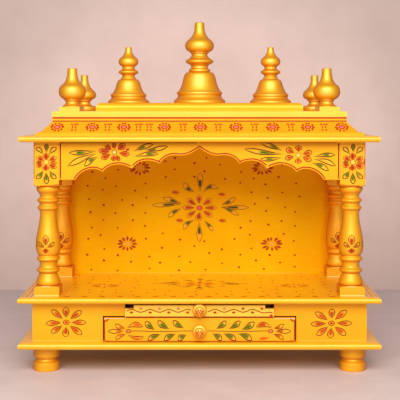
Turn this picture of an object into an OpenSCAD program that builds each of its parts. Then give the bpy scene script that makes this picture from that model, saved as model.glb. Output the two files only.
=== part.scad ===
// Wooden home temple: a low cabinet with a drawer and a pull-out tray carries
// four turned columns, a multifoil arch, a stepped roof and a row of turned domes.
// Millimetres, +Z up, front towards -Y, origin on the floor under the middle.

/* [Boards] */
// Width over the round edges of the three wide boards
board_width = 611; // [500:1:720]
// Depth of the three wide boards
board_depth = 295; // [240:1:360]
// Thickness of the deck, the crown board and the cabinet walls
board_thickness = 10.2; // [6:0.1:14]
// Thickness of the base board
base_thickness = 11.3; // [8:0.1:16]
// How far the wide boards stand out past the cabinet
overhang = 22.5; // [10:0.5:40]
// How far the two lower boards stand out at the cabinet's sides
side_overhang = 22; // [0:0.5:60]
// How much shorter the crown board is at each end than the two lower boards
crown_inset = 2.6; // [0:0.1:20]

/* [Feet] */
// Height of the turned feet
foot_height = 41.9; // [25:0.1:70]
// Largest radius of a foot
foot_radius = 22.9; // [15:0.1:35]
// Distance of a foot's axis from the cabinet's side
foot_side_inset = 20.6; // [15:0.1:60]
// Distance of a foot's axis behind the cabinet's front
foot_inset = 23; // [15:1:60]

/* [Cabinet] */
// Height of the cabinet between the base board and the deck
cabinet_height = 66.3; // [50:0.1:110]
// Half the width of the drawer opening
drawer_gap_x = 164; // [120:0.5:200]
// Height of the drawer opening
drawer_gap_height = 42.8; // [30:0.1:60]
// Half the width of the slot for the tray
slot_x = 126.4; // [90:0.5:160]

/* [Drawer] */
// Gap beside and over the drawer's front
drawer_play = 2.2; // [1:0.1:5]
// How far the drawer's front stands out of the cabinet
drawer_proud = 8; // [0:0.5:12]
// Thickness of the drawer's front
drawer_front_thickness = 12; // [8:0.5:18]
// Room left behind the drawer
drawer_back_gap = 32; // [5:1:100]
// Thickness of the drawer's sides and back
drawer_side = 6; // [4:0.5:12]
// Gap between the drawer's sides and the sides of the opening
side_play = 5.4; // [3:0.1:10]

/* [Tray] */
// How far the tray's lip stands out of the cabinet
tray_proud = 10; // [2:0.5:15]
// Gap between the deck and the lip
tray_play = 3.8; // [2:0.1:8]
// Height of the cut in each of the lip's upper corners
lip_cut = 5.8; // [2:0.1:8]
// Half the width of the lip
lip_x = 125.6; // [80:0.1:150]
// Half the width of the tray's board and of the lip's raised middle
tray_x = 110.7; // [70:0.1:140]
// Room left behind the tray's board
tray_back_gap = 52; // [5:1:120]
// Thickness of the tray's board
tray_thickness = 6; // [4:0.5:10]

/* [Knobs] */
// Radius of a knob's head
knob_radius = 12; // [8:0.1:18]
// Length of a knob from its board to its face
knob_length = 18; // [12:0.5:26]

/* [Columns] */
// Width of the square blocks at the ends of a column
block_width = 42.5; // [30:0.5:60]
// Distance from the cabinet's side to the blocks
column_side_inset = 3.2; // [0:0.1:20]
// How far a back column's blocks stand in from the cabinet's side
back_column_side_inset = 1.5; // [0:0.25:20]
// Widest radius of a front column's turning
front_column_radius = 21.2; // [14:0.1:21.2]
// Widest radius of a back column's turning
back_column_radius = 20.5; // [14:0.1:21]
// Height of a column
column_height = 261.3; // [200:0.1:330]
// Height of a front column's bottom block
front_plinth = 16.7; // [10:0.1:40]
// Height of a front column's top block
front_cap = 75.8; // [40:0.1:100]
// Height of a back column's bottom block
back_plinth = 19; // [10:0.1:40]
// Height of a back column's top block
back_cap = 89.8; // [40:0.1:110]

/* [Arches and back] */
// How far the arch's ends hang below the crown board
arch_drop = 64; // [50:0.1:90]
// How far the arch's point lies below the crown board
arch_point = 9.6; // [4:0.1:25]
// Width of the arch's flat end beside a front block
arch_foot = 27.4; // [5:0.1:50]
// Width of a side arch's flat end beside a block
side_arch_foot = 14; // [5:0.1:30]
// Thickness of the arch boards
arch_thickness = 9; // [5:0.5:15]
// How far an arch board lies behind the faces of the blocks
arch_recess = 1.5; // [0:0.5:10]
// Thickness of the back panel
panel_thickness = 6; // [3:0.5:12]

/* [Roof] */
// Thickness of the step on the crown board
step_height = 5.2; // [3:0.1:10]
// How far the step is set in from the crown board's edge
step_inset = 27; // [10:0.1:50]
// Height of the sloping frieze
frieze_height = 18.1; // [10:0.1:30]
// How far the frieze's foot is set in from the crown board's edge
frieze_inset = 33.6; // [15:0.1:60]
// How far the frieze slopes in from its foot to its top
frieze_slope = 19; // [5:0.1:40]
// How far the frieze's slope is hollowed
frieze_hollow = 0.4; // [0:0.1:4]
// Height of the band on the frieze
band_height = 8.2; // [5:0.1:15]
// Thickness of the attic's top board
attic_board = 9.8; // [6:0.1:15]
// How far the attic's top board is set in from the crown board's edge
attic_inset = 52.3; // [30:0.1:80]

/* [Domes] */
// Thickness of the plate under the domes
plate_height = 14.7; // [8:0.1:25]
// Gap between the plate and the pads beside it
plate_side_gap = 25.5; // [5:0.1:60]
// Depth of the plate
plate_depth = 110; // [90:1:150]
// Height of the middle dome
dome_height = 144.4; // [90:0.1:180]
// Radius of the middle dome's foot
dome_radius = 46.5; // [30:0.1:54]
// Height of a side dome
side_dome_height = 100.1; // [60:0.1:140]
// Radius of a side dome's foot
side_dome_radius = 37.2; // [20:0.1:48]
// Distance of a side dome's axis from the plate's end
side_dome_edge = 53.9; // [48:0.1:80]

/* [Finials] */
// Height of a front finial over its pad
front_finial_height = 66.9; // [40:0.1:100]
// Radius of a front finial's bulb
front_finial_radius = 23.7; // [12:0.1:30]
// Height of a back finial
back_finial_height = 66.4; // [40:0.1:100]
// Radius of a back finial's bulb and disc
back_finial_radius = 22.2; // [12:0.1:30]
// Distance of a front finial's axis from the attic's side
front_finial_edge = 31.2; // [24:0.1:50]
// Distance of a pad's middle from the attic's side
pad_edge = 28.5; // [18:0.5:50]
// Distance of a back finial's axis from the attic's side
back_finial_edge = 38.2; // [24:0.1:60]
// Width of the pad under a front finial
pad_width = 34.6; // [25:0.1:50]
// Depth of the pad under a front finial
pad_depth = 80; // [40:1:120]
// Height of the pad under a front finial
pad_height = 7.7; // [4:0.1:12]
// Distance from the attic's front to the pad
pad_inset = 11.5; // [4:0.5:40]
// Distance from the attic's back to a back finial's axis
back_finial_inset = 23.5; // [23:0.5:60]

/* [Hidden] */
$fn = 96;
steps = 7;         // stretches in each curve of a turning
seat = 0.3;        // gap between a sliding piece and what carries it
eps = 0.01;
attic_ease = 1.5;     // radius of the attic board's upper edges
plate_ease = 9;     // radius of the plate's upper edges
cap_shoulder = 2.6; // how far the lathe rounds the blocks: under the caps,
front_shoulder = 2; // on the front plinths
back_shoulder = 4;  // and on the back ones
tuck = 3;          // how far a column's turning runs into its blocks

// Front to back: the foremost point is the drawer's knob or the tray's
foremost = max(drawer_proud, tray_proud) + knob_length;
board_back = (board_depth - overhang + foremost) / 2;
board_mid = board_back - board_depth / 2;
front = board_back - board_depth + overhang;
cabinet_x = board_width / 2 - side_overhang;
cabinet_depth = board_depth - 2 * overhang;
back = front + cabinet_depth;

// Heights, from the floor up
base_z = foot_height;
cabinet_z = base_z + base_thickness;
deck_z = cabinet_z + cabinet_height;
shrine_z = deck_z + board_thickness;
crown_z = shrine_z + column_height;
step_z = crown_z + board_thickness;
frieze_z = step_z + step_height;
band_z = frieze_z + frieze_height;
attic_z = band_z + band_height;
roof_z = attic_z + attic_board;
dome_z = roof_z + plate_height;

front_column_y = front + block_width / 2;
panel_y = back - panel_thickness;
back_column_y = panel_y - block_width / 2;
foot_y = [front + foot_inset, back - foot_inset];
roof_mid = (front + back) / 2;
wall = board_thickness;

drawer_front_x = drawer_gap_x - drawer_play - 0.4;
drawer_x = drawer_gap_x - side_play;
drawer_top = cabinet_z + drawer_gap_height - drawer_play;
drawer_y = front - drawer_proud;
drawer_edge = 0.6;      // gap under the drawer's front
drawer_wall_drop = 6;   // how far the drawer's sides end below its front's top
drawer_wall_height = drawer_gap_height - drawer_play - drawer_wall_drop - seat;
drawer_depth = cabinet_depth - wall - drawer_back_gap - drawer_front_thickness + drawer_proud;
drawer_knob_z = (cabinet_z + drawer_top) / 2 - 2.5;
guide_height = 18;

column_x = cabinet_x - column_side_inset - block_width / 2;
back_column_x = cabinet_x - back_column_side_inset - block_width / 2;
foot_x = cabinet_x - foot_side_inset;

attic_front = board_mid - board_depth / 2 + attic_inset;
attic_back = board_mid + board_depth / 2 - attic_inset;
attic_x = board_width / 2 - attic_inset;
front_finial_x = attic_x - front_finial_edge;
back_finial_x = attic_x - back_finial_edge;
pad_x = attic_x - pad_edge;
plate_x = pad_x - pad_width / 2 - plate_side_gap;
side_dome_x = plate_x - side_dome_edge;

lip_z = drawer_top + 1.7;  // the lip hangs just over the drawer's front
lip_height = deck_z - tray_play - lip_z;
lip_end_height = lip_height - lip_cut;
lip_y = front - tray_proud;
lip_thickness = tray_proud - 1;
tray_top = lip_z + lip_height - 0.6;
tray_z = tray_top - tray_thickness;
tray_y = lip_y + lip_thickness;
tray_depth = back - wall - tray_back_gap - tray_y;
knob_clear = 0.4;          // between the tray's knob and the deck above it
tray_knob_z = deck_z - knob_radius - knob_clear;
rail_inset = 45;        // from the cabinet's front to the rails
rail_wall = 8;
ledge = 8;              // height of a rail's ledge
ledge_reach = 7;        // how far the ledge reaches under the tray
tray_side_gap = 5;

gold = [0.99, 0.72, 0.12];
deep = [0.93, 0.56, 0.06];

// ---- Curves of a turning: lists of [radius, height], each going on from the last point ----

// A half-round ring that swells out of radius r
function bead(z0, z1, r, swell) = [for (i = [0 : 2 * steps]) let (a = 90 * i / steps)
    [r + swell * sin(a), (z0 + z1) / 2 - (z1 - z0) / 2 * cos(a)]];

// A curve from a to c that leans towards b
function lean(a, b, c) = [for (i = [1 : steps]) let (t = i / steps)
    (1 - t) * (1 - t) * a + 2 * t * (1 - t) * b + t * t * c];

// A ring with a round nose at height z, h to each side, and a cove from and to the necks
function ring(z0, z, z1, neck0, radius, neck1, h) =
    let (mid0 = (neck0 + radius) / 2, mid1 = (neck1 + radius) / 2)
    concat(lean([neck0, z0], [neck0, z - 1.55 * h], [mid0, z - h]),
        lean([mid0, z - h], [radius, z - 0.45 * h], [radius, z]),
        lean([radius, z], [radius, z + 0.45 * h], [mid1, z + h]),
        lean([mid1, z + h], [neck1, z + 1.55 * h], [neck1, z1]));

// The outline drawn out to a widest radius and a height, from height 0 up
function sized(outline, radius, height) = let (
    widest = max([for (p = outline) p[0]]),
    low = outline[0][1],
    top = outline[len(outline) - 1][1])
    [for (p = outline) [p[0] * radius / widest, (p[1] - low) * height / (top - low)]];

module turned(outline) {
    low = outline[0][1];
    high = outline[len(outline) - 1][1];
    rotate_extrude() polygon(concat([[0, low]], outline, [[0, high]]));
}

// ---- Boards ----

// Cross-section of a board whose ends are half round
module bullnose(w, h) {
    translate([-(w - h) / 2, 0]) square([w - h, h]);
    for (s = [-1, 1]) translate([s * (w - h) / 2, h / 2]) circle(h / 2);
}

// Cross-section of a slab whose two upper corners are eased by radius r
module eased(w, h, r) intersection() {
    union() {
        translate([-w / 2, 0]) square([w, h - r]);
        translate([-w / 2 + r, 0]) square([w - 2 * r, h]);
        for (s = [-1, 1]) translate([s * (w / 2 - r), h - r]) circle(r);
    }
    translate([-w / 2, 0]) square([w, h]);
}

// Runs children(0) along the depth and children(1) along the width; their
// edges meet in mitres at the four corners
module mitred(w, d) intersection() {
    translate([0, d / 2, 0]) rotate([90, 0, 0]) linear_extrude(d) children(0);
    translate([-w / 2, 0, 0]) rotate([90, 0, 90]) linear_extrude(w) children(1);
}

module bullnose_board(w, d, h) mitred(w, d) {
    bullnose(w, h);
    bullnose(d, h);
}

module eased_slab(w, d, h, r) mitred(w, d) {
    eased(w, h, r);
    eased(d, h, r);
}

// ---- Feet ----

// Drawn for a foot 41.9 high: a disc, a cove up to the waist and a drum with a round foot
foot_shape = concat(
    [[21.8, 0]], lean([21.8, 0], [22.9, 0.2], [22.9, 2.6]),
    lean([22.9, 12.4], [22.9, 14], [21.4, 14.6]), lean([21.4, 14.6], [17.6, 16.4], [17, 20.2]),
    lean([17, 20.5], [21.6, 20.9], [22.5, 26.6]), [[22.5, 41.9]]);

module foot(x, y) color(deep) translate([x, y, 0])
    turned(sized(foot_shape, foot_radius, foot_height));
module foot_front_left() foot(-foot_x, foot_y[0]);
module foot_front_right() foot(foot_x, foot_y[0]);
module foot_back_left() foot(-foot_x, foot_y[1]);
module foot_back_right() foot(foot_x, foot_y[1]);

// ---- Cabinet ----

module wide_board(z, thickness, inset = 0) color(gold) translate([0, board_mid, z])
    bullnose_board(board_width - 2 * inset, board_depth, thickness);

module base_board() wide_board(base_z, base_thickness);
module deck_board() wide_board(deck_z, board_thickness);

// The front on the left: a stile beside the drawer, carried on to the tray's slot
module box_front_left() color(gold) translate([0, front, cabinet_z]) {
    translate([-cabinet_x, 0, 0]) cube([cabinet_x - drawer_gap_x, wall, cabinet_height]);
    translate([-drawer_gap_x - eps, 0, drawer_gap_height])
        cube([drawer_gap_x - slot_x + eps, wall, cabinet_height - drawer_gap_height]);
}
module box_front_right() mirror([1, 0, 0]) box_front_left();

module box_side_left() color(gold) translate([-cabinet_x, front + wall, cabinet_z])
    cube([wall, cabinet_depth - 2 * wall, cabinet_height]);
module box_side_right() mirror([1, 0, 0]) box_side_left();

module box_back() color(gold) translate([-cabinet_x, back - wall, cabinet_z])
    cube([2 * cabinet_x, wall, cabinet_height]);

// Strips on the base board that keep the drawer straight
module drawer_guides() color(deep) for (s = [0, 1]) mirror([s, 0, 0])
    translate([drawer_gap_x, front + wall, cabinet_z]) cube([wall, cabinet_depth - 2 * wall, guide_height]);

// Rails under the deck, each with a ledge for the edge of the tray
module tray_rails() color(deep) for (s = [0, 1]) mirror([s, 0, 0])
    translate([tray_x, front + rail_inset, tray_z - ledge]) {
        length = cabinet_depth - 2 * wall - rail_inset;
        translate([tray_side_gap, 0, 0]) cube([rail_wall, length, deck_z - tray_z + ledge]);
        translate([-ledge_reach, 0, 0]) cube([ledge_reach + tray_side_gap + eps, length, ledge - seat]);
    }

// ---- Drawer ----

module drawer_front() color(gold) translate([-drawer_front_x, drawer_y, cabinet_z + drawer_edge])
    cube([2 * drawer_front_x, drawer_front_thickness, drawer_top - cabinet_z - drawer_edge]);

module drawer_side_left() color(deep)
    translate([-drawer_x, drawer_y + drawer_front_thickness, cabinet_z + seat])
        cube([drawer_side, drawer_depth, drawer_wall_height]);
module drawer_side_right() mirror([1, 0, 0]) drawer_side_left();

module drawer_back() color(deep)
    translate([-drawer_x + drawer_side, drawer_y + drawer_front_thickness + drawer_depth - drawer_side,
               cabinet_z + seat])
        cube([2 * (drawer_x - drawer_side), drawer_side, drawer_wall_height]);

module drawer_bottom() color(deep)
    translate([-drawer_x + drawer_side, drawer_y + drawer_front_thickness, cabinet_z + 2])
        cube([2 * (drawer_x - drawer_side), drawer_depth - drawer_side, 4]);

// Drawn for a knob 18 long: a rounded rose against the board, a neck and a domed button
knob_shape = concat(
    [[11.6, 0], [12, 1.2]], lean([12, 1.2], [12, 4.6], [9.3, 5]),
    lean([9.3, 5], [6.6, 5.2], [6.4, 8.4]), lean([6.4, 8.4], [6.5, 11.2], [8.3, 11.8]),
    lean([8.5, 12.2], [9.2, 17.6], [0.6, 18]));

module knob(y, z) color(gold) translate([0, y, z]) rotate([90, 0, 0])
    turned(sized(knob_shape, knob_radius, knob_length));
module drawer_knob() knob(drawer_y, drawer_knob_z);

// ---- Tray ----

// The lip's upper corners are cut away beside its raised middle
module tray_lip() color(gold) translate([0, lip_y, lip_z]) {
    translate([-lip_x, 0, 0]) cube([2 * lip_x, lip_thickness, lip_end_height]);
    translate([-tray_x, 0, 0]) cube([2 * tray_x, lip_thickness, lip_height]);
}
module tray_board() color(deep) translate([-tray_x, tray_y, tray_z])
    cube([2 * tray_x, tray_depth, tray_thickness]);
module tray_knob() knob(lip_y, tray_knob_z);

// ---- Columns ----

// A square block whose inner end is rounded on the lathe; shoulder is its rise
module block(height, shoulder) intersection() {
    translate([-block_width / 2, -block_width / 2, 0]) cube([block_width, block_width, height]);
    turned(concat([[block_width, 0], [block_width * 0.71, height - 2 * shoulder]],
        lean([block_width * 0.71, height - 2 * shoulder], [block_width * 0.71, height],
            [block_width * 0.42, height])));
}

module column(x, y, plinth, cap, shaft, radius, plinth_shoulder) color(gold) translate([x, y, shrine_z]) {
    block(plinth, plinth_shoulder);
    translate([0, 0, column_height]) mirror([0, 0, 1]) block(cap, cap_shoulder);
    translate([0, 0, plinth - tuck])
        turned(sized(shaft, radius, column_height - plinth - cap + 2 * tuck));
}

// Front columns: vase foot, two rings, a tall belly, two rings and a cup
front_shaft = concat(
    [[18, 0], [18, 3.1]], lean([18.8, 3.2], [21, 4.6], [20.8, 8.2]),
    lean([20.8, 8.2], [20.3, 12.4], [17.4, 17.6]), lean([17.4, 17.6], [15.6, 20.8], [15.4, 22.6]),
    ring(22.8, 28.2, 37.2, 15.4, 20.1, 14.6, 3.4), ring(37.2, 47.5, 53.2, 14.6, 19.9, 16.6, 3.3),
    lean([16.6, 53.3], [21.4, 57.6], [21.4, 69]), lean([21.4, 69], [21.4, 82], [18.5, 94.3]),
    lean([18.5, 94.3], [14.7, 111], [14, 123]),
    ring(123, 134.7, 140.6, 14, 18.4, 14.7, 3.1), ring(140.6, 147.7, 154.6, 14.7, 19, 13.8, 3.2),
    lean([13.8, 155.2], [14.2, 157.6], [17.2, 161.2]), lean([17.2, 161.2], [20, 163.4], [20.2, 167]),
    lean([20.2, 168.4], [20.1, 171], [18.6, 171.1]), [[16, 171.2], [16, 174.8]]);

// Back columns: a longer belly that starts lower
back_shaft = concat(
    [[17, 0], [17, 3.1]], lean([17.6, 3.2], [19.9, 4.4], [19.7, 8]),
    lean([19.7, 8], [19.4, 12], [16.8, 17.4]), lean([16.8, 17.4], [15.2, 20.6], [15, 23.4]),
    ring(23.6, 30.2, 35.6, 15, 19.3, 16, 3.4),
    lean([16, 35.7], [20.9, 39], [20.9, 51]), lean([20.9, 51], [20.9, 68], [18.2, 82]),
    lean([18.2, 82], [14.6, 100], [13.6, 114]),
    ring(114, 123.2, 129, 13.6, 17.4, 14, 3), ring(129, 135.2, 142.4, 14, 18.4, 13.4, 3.1),
    lean([13.4, 143], [13.8, 144.6], [16.4, 146.8]), lean([16.4, 146.8], [19, 148.6], [19.2, 152]),
    lean([19.2, 153.2], [19.1, 155.4], [17.6, 155.5]), [[15.5, 155.6], [15.5, 158.5]]);

module front_column(x) column(x, front_column_y, front_plinth, front_cap,
    front_shaft, front_column_radius, front_shoulder);
module back_column(x) column(x, back_column_y, back_plinth, back_cap,
    back_shaft, back_column_radius, back_shoulder);
module column_front_left() front_column(-column_x);
module column_front_right() front_column(column_x);
module column_back_left() back_column(-back_column_x);
module column_back_right() back_column(back_column_x);

// ---- Arches ----

// A foil from cusp p over its top to cusp q: steep first, then gently down
function foil(p, top, q) = concat(
    [for (i = [0 : steps]) let (a = 30 + 60 * i / steps)
        [p[0] + (top[0] - p[0]) * (1 - cos(a) / cos(30)), p[1] + (top[1] - p[1]) * (2 * sin(a) - 1)]],
    [for (i = [1 : steps]) let (t = i / steps)
        [top[0] + (q[0] - top[0]) * t, top[1] + (q[1] - top[1]) * t * t]]);

// The keel that runs up from the last foil to the point in the middle
function keel(p, apex) = [for (i = [1 : steps]) let (t = i / steps)
    [p[0] * (1 - t), p[1] + (apex - p[1]) * t * t]];

// Half an arch's edge in shares of its opening: 1 is the end's width and drop
front_foils = concat([[1, 1]],
    foil([1, 1], [0.853, 0.706], [0.782, 0.787]),
    foil([0.78, 0.787], [0.65, 0.59], [0.544, 0.706]),
    foil([0.542, 0.706], [0.42, 0.488], [0.322, 0.565]),
    foil([0.32, 0.565], [0.205, 0.346], [0.155, 0.36]),
    keel([0.155, 0.36], arch_point / arch_drop));

side_foils = concat([[1, 1]],
    foil([1, 1], [0.72, 0.62], [0.55, 0.667]),
    foil([0.54, 0.667], [0.37, 0.483], [0.245, 0.498]),
    keel([0.245, 0.498], arch_point / arch_drop * 2.2));

function flipped(outline) = [for (i = [len(outline) - 2 : -1 : 0]) [-outline[i][0], outline[i][1]]];

// An arch board that fills a span between two blocks; foot is its flat end's width
module arch_board(foils, span, foot) {
    half = concat([[span, crown_z - arch_drop]],
        [for (p = foils) [p[0] * (span - foot), crown_z - p[1] * arch_drop]]);
    color(gold) rotate([90, 0, 0]) linear_extrude(arch_thickness)
        polygon(concat([[span, crown_z]], half, flipped(half), [[-span, crown_z]]));
}

module front_arch() translate([0, front + arch_recess + arch_thickness, 0])
    arch_board(front_foils, column_x - block_width / 2, arch_foot);

module side_arch_left()
    translate([-column_x - block_width / 2 + arch_recess, (front_column_y + back_column_y) / 2, 0])
        rotate([0, 0, 90])
            arch_board(side_foils, (back_column_y - front_column_y - block_width) / 2, side_arch_foot);
module side_arch_right() mirror([1, 0, 0]) side_arch_left();

module back_panel() color(deep) translate([-cabinet_x, panel_y, shrine_z])
    cube([2 * cabinet_x, panel_thickness, column_height]);

// ---- Roof ----

module crown_board() wide_board(crown_z, board_thickness, crown_inset);

// A tier of the roof, set in from the crown board by the same amount all round
module tier(inset, z, height) color(gold)
    translate([-board_width / 2 + inset, board_mid - board_depth / 2 + inset, z])
        cube([board_width - 2 * inset, board_depth - 2 * inset, height]);

module cornice_step() tier(step_inset, step_z, step_height);
module attic_band() tier(frieze_inset + frieze_slope, band_z, band_height);

// Outline of the hollowed slope, seen from one side; half is half the foot's width
function slope(half) = [for (i = [0 : steps]) let (t = i / steps)
    [half - frieze_slope * t - frieze_hollow * sin(180 * t), frieze_height * t]];

module slope_section(half) polygon(concat(slope(half), flipped(concat(slope(half), [[0, 0]]))));

module sloping_frieze() color(gold) translate([0, board_mid, frieze_z])
    mitred(board_width, board_depth) {
        slope_section(board_width / 2 - frieze_inset);
        slope_section(board_depth / 2 - frieze_inset);
    }

module attic_board_top() color(gold) translate([0, board_mid, attic_z])
    eased_slab(board_width - 2 * attic_inset, board_depth - 2 * attic_inset, attic_board, attic_ease);

module dome_plate() color(gold) translate([0, roof_mid, roof_z])
    eased_slab(2 * plate_x, plate_depth, plate_height, plate_ease);

// ---- Domes ----

// Foot bead, lip, bell, collar, ring, collar, onion and spire
dome_shape = concat(
    [[45.9, 0]], lean([45.9, 0], [47.5, 3.2], [44, 6.1]), lean([44, 6.1], [40.6, 8.6], [39, 12]),
    lean([39, 12.2], [39.2, 14.6], [40.9, 16.4]), lean([40.9, 16.4], [41.4, 20], [38.6, 20.2]),
    lean([38.2, 20.4], [32.6, 28.6], [30.3, 39.4]), lean([30.3, 39.4], [28.6, 47.4], [26.4, 51.6]),
    lean([26.4, 51.6], [24.6, 55], [20.6, 55.2]), bead(55.4, 60.8, 17.4, 2.1),
    lean([17, 61], [15.2, 62], [15.1, 64.8]), ring(64.8, 74.2, 81.2, 15.1, 25.3, 17.4, 4.3),
    lean([17.4, 82.3], [14.4, 83.4], [14.2, 86.2]), lean([14.2, 86.2], [14.4, 88.8], [16.6, 89.4]),
    [[17.2, 89.8], [17.2, 91.2]],
    lean([17.8, 91.4], [26, 94.6], [26, 102.4]), lean([26, 102.4], [26, 109], [20.8, 112.8]),
    lean([20.8, 112.8], [9.8, 121], [8.9, 133.6]), [[8.5, 143.4], [7.5, 144.4]]);

side_dome_shape = concat(
    [[36.9, 0]], lean([36.9, 0], [38.1, 2.6], [34.6, 5]), lean([34.6, 5], [31.6, 6.8], [30.8, 9.2]),
    lean([30.8, 9.4], [30.9, 11], [32.2, 12.4]), lean([32.2, 12.4], [32.8, 16], [29.9, 16.2]),
    lean([29.5, 16.4], [24.6, 23], [22, 32]), lean([22, 32], [20.6, 37.4], [18.8, 40]),
    lean([18.8, 40], [17.6, 41.8], [15, 42]), lean([14.5, 42.2], [12.8, 45.4], [11, 48]),
    ring(48, 55.3, 62.4, 11, 18.2, 10.9, 3.5), lean([10.9, 62.6], [11, 65.6], [13.2, 66.3]),
    lean([13.4, 66.6], [17.8, 68.8], [17.8, 73.8]), lean([17.8, 73.8], [17.8, 78.4], [14.2, 81.2]),
    lean([14.2, 81.2], [6.6, 87], [5.8, 95.6]), [[5.5, 99.3], [4.7, 100.1]]);

module dome(x, outline) color(gold) translate([x, roof_mid, dome_z]) turned(outline);
module side_dome(x) dome(x, sized(side_dome_shape, side_dome_radius, side_dome_height));
module dome_centre() dome(0, sized(dome_shape, dome_radius, dome_height));
module dome_left() side_dome(-side_dome_x);
module dome_right() side_dome(side_dome_x);

// ---- Finials ----

pad_y = attic_front + pad_inset + pad_depth / 2;
front_finial_y = attic_front + pad_inset + front_finial_radius - 2;
back_finial_y = attic_back - back_finial_inset;

module finial_pads() color(gold) for (s = [-1, 1]) translate([s * pad_x, pad_y, roof_z])
    translate([-pad_width / 2, -pad_depth / 2, 0]) cube([pad_width, pad_depth, pad_height]);

// Flared foot, collar, bulb and neck
front_finial_shape = concat(
    [[17.8, 0], [17.8, 1]], lean([17.6, 1.2], [12, 4], [11.4, 7.8]),
    lean([11.4, 7.8], [11.6, 9.8], [13.2, 10.6]), [[14, 11.3], [14, 12.5]],
    lean([14.4, 12.8], [23.7, 16.8], [23.7, 26]), lean([23.7, 26], [23.7, 34.6], [18.3, 38.1]),
    lean([18.3, 38.1], [10.6, 43.4], [9, 55.5]), [[8.3, 66], [7.5, 66.9]]);

// The same over a round-edged disc
back_finial_shape = concat(
    bead(0, 8.6, 19.7, 2.2), lean([15.8, 8.8], [10.8, 10.8], [10.2, 15.4]),
    lean([10.2, 15.4], [10.4, 17.2], [12.2, 18]), [[13.3, 19.2], [13.3, 20.6]],
    lean([13.7, 20.9], [21.5, 22.8], [21.5, 29]), lean([21.5, 29], [21.5, 34.2], [16.6, 38.2]),
    lean([16.6, 38.2], [8.4, 44.6], [7.1, 55.6]), [[6.6, 65.6], [5.8, 66.4]]);

module front_finial(x) color(gold) translate([x, front_finial_y, roof_z + pad_height])
    turned(sized(front_finial_shape, front_finial_radius, front_finial_height));
module back_finial(x) color(gold) translate([x, back_finial_y, roof_z])
    turned(sized(back_finial_shape, back_finial_radius, back_finial_height));

module finial_front_left() front_finial(-front_finial_x);
module finial_front_right() front_finial(front_finial_x);
module finial_back_left() back_finial(-back_finial_x);
module finial_back_right() back_finial(back_finial_x);

foot_front_left();
foot_front_right();
foot_back_left();
foot_back_right();
base_board();
box_front_left();
box_front_right();
box_side_left();
box_side_right();
box_back();
drawer_guides();
tray_rails();
deck_board();
drawer_front();
drawer_side_left();
drawer_side_right();
drawer_back();
drawer_bottom();
drawer_knob();
tray_lip();
tray_board();
tray_knob();
column_front_left();
column_front_right();
column_back_left();
column_back_right();
front_arch();
side_arch_left();
side_arch_right();
back_panel();
crown_board();
cornice_step();
sloping_frieze();
attic_band();
attic_board_top();
dome_plate();
dome_centre();
dome_left();
dome_right();
finial_pads();
finial_front_left();
finial_front_right();
finial_back_left();
finial_back_right();
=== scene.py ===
import math
import random

import bmesh
import bpy
from mathutils import Matrix, Vector
from mathutils.bvhtree import BVHTree


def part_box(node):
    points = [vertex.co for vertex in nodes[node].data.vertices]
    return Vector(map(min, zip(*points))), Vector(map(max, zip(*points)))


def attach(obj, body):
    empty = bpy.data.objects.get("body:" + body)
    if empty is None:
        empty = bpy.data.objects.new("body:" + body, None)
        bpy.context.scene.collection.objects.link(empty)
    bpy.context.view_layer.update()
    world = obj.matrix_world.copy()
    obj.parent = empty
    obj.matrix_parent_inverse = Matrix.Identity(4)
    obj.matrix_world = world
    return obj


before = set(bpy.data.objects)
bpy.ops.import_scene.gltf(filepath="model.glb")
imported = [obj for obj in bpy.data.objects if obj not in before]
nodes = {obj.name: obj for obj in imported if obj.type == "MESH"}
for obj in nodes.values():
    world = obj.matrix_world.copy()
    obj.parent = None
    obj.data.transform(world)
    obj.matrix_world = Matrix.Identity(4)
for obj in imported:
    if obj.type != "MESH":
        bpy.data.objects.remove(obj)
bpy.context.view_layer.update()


# ---------------------------------------------------------------- room
# A pale stone floor up to a plastered wall behind the temple, one wide soft lamp above the front,
# and the camera. Floor and wall are painted lighter about a point and darker away from it: a painted
# pool of light.
def fill(node, values):
    """Puts values in a shader node's sockets."""
    for socket, value in values.items():
        node.inputs[socket].default_value = value
    return node


def colour_mix(n, values, kind="MIX"):
    mix = n.new("ShaderNodeMix")
    mix.data_type, mix.blend_type = "RGBA", kind
    return fill(mix, values)


def new_material(name):
    mat = bpy.data.materials.new(name)
    mat.use_nodes = True
    n = mat.node_tree.nodes
    return mat, n, mat.node_tree.links.new, n["Principled BSDF"]


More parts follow.
